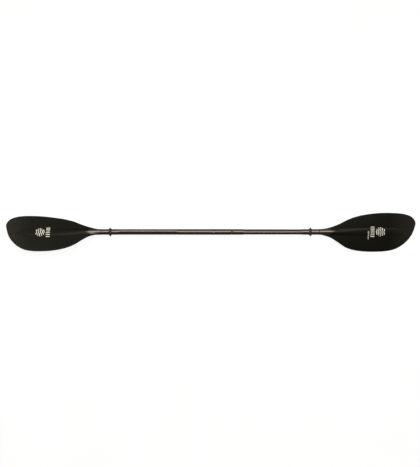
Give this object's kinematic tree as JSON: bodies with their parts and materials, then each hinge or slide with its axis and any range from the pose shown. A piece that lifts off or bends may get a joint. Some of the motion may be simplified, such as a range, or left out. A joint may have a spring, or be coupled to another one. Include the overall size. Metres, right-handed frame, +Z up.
{
  "type": "kayak paddle",
  "caption": "Two-piece double-bladed touring kayak paddle with feathered cupped blades, oval hand grips, drip rings and a snap-button joint.",
  "frame": {"origin": "on the shaft's axis, halfway between the blade tips, at the middle of the shaft", "axes": "+X along the shaft towards the right blade, +Y across towards the blades' longer edges, +Z up, out of the back faces"},
  "size_m": [2.1, 0.1999, 0.0957],
  "materials": {
    "carbon_shaft": "glossy clear-coated carbon",
    "carbon_blade": "satin clear-coated carbon twill",
    "foam_core": "closed-cell foam",
    "edge_band": "resin-filled woven edging",
    "plug_foam": "closed-cell foam",
    "drip_ring_rubber": "matt moulded rubber",
    "ferrule_composite": "moulded composite",
    "cap_plastic": "moulded plastic",
    "collar_plastic": "moulded plastic",
    "button_metal": "satin stainless steel",
    "spring_steel": "spring steel"
  },
  "bodies": {
    "left_half": {"left_shaft_tube": "carbon_shaft", "ferrule_socket": "ferrule_composite", "socket_bulkhead": "plug_foam", "left_neck_plug": "plug_foam", "left_blade_power_skin": "carbon_blade", "left_blade_back_skin": "carbon_blade", "left_blade_foam_core": "foam_core", "left_blade_edge_band": "edge_band", "left_blade_spine": "carbon_blade"},
    "collar": {"ferrule_collar": "collar_plastic"},
    "right_half": {"right_shaft_tube": "carbon_shaft", "ferrule_core": "ferrule_composite", "core_cap": "cap_plastic", "button_spring": "spring_steel", "right_neck_plug": "plug_foam", "right_blade_power_skin": "carbon_blade", "right_blade_back_skin": "carbon_blade", "right_blade_foam_core": "foam_core", "right_blade_edge_band": "edge_band", "right_blade_spine": "carbon_blade"},
    "button": {"snap_button": "button_metal"},
    "left_ring": {"left_drip_ring": "drip_ring_rubber"},
    "right_ring": {"right_drip_ring": "drip_ring_rubber"}
  },
  "joints": [
    {"name": "pull_apart", "type": "slide", "parent": "left_half", "child": "collar", "axis": [1, 0, 0], "range_m": [0, 0.15], "deforming": ["snap_button"]},
    {"name": "feather", "type": "hinge", "parent": "collar", "child": "right_half", "pos_m": [0.1, 0, 0], "axis": [1, 0, 0], "range_deg": [-90, 0]},
    {"name": "button_press", "type": "slide", "parent": "right_half", "child": "button", "axis": [0, 0.3827, -0.9239], "range_m": [0, 0.0035], "stiffness_N_per_m": 1200, "springref_m": -0.001, "deforming": ["button_spring"]},
    {"name": "left_ring_slide", "type": "slide", "parent": "left_half", "child": "left_ring", "axis": [1, 0, 0], "range_m": [-0.02, 0.02]},
    {"name": "right_ring_slide", "type": "slide", "parent": "right_half", "child": "right_ring", "axis": [1, 0, 0], "range_m": [-0.02, 0.02]}
  ]
}
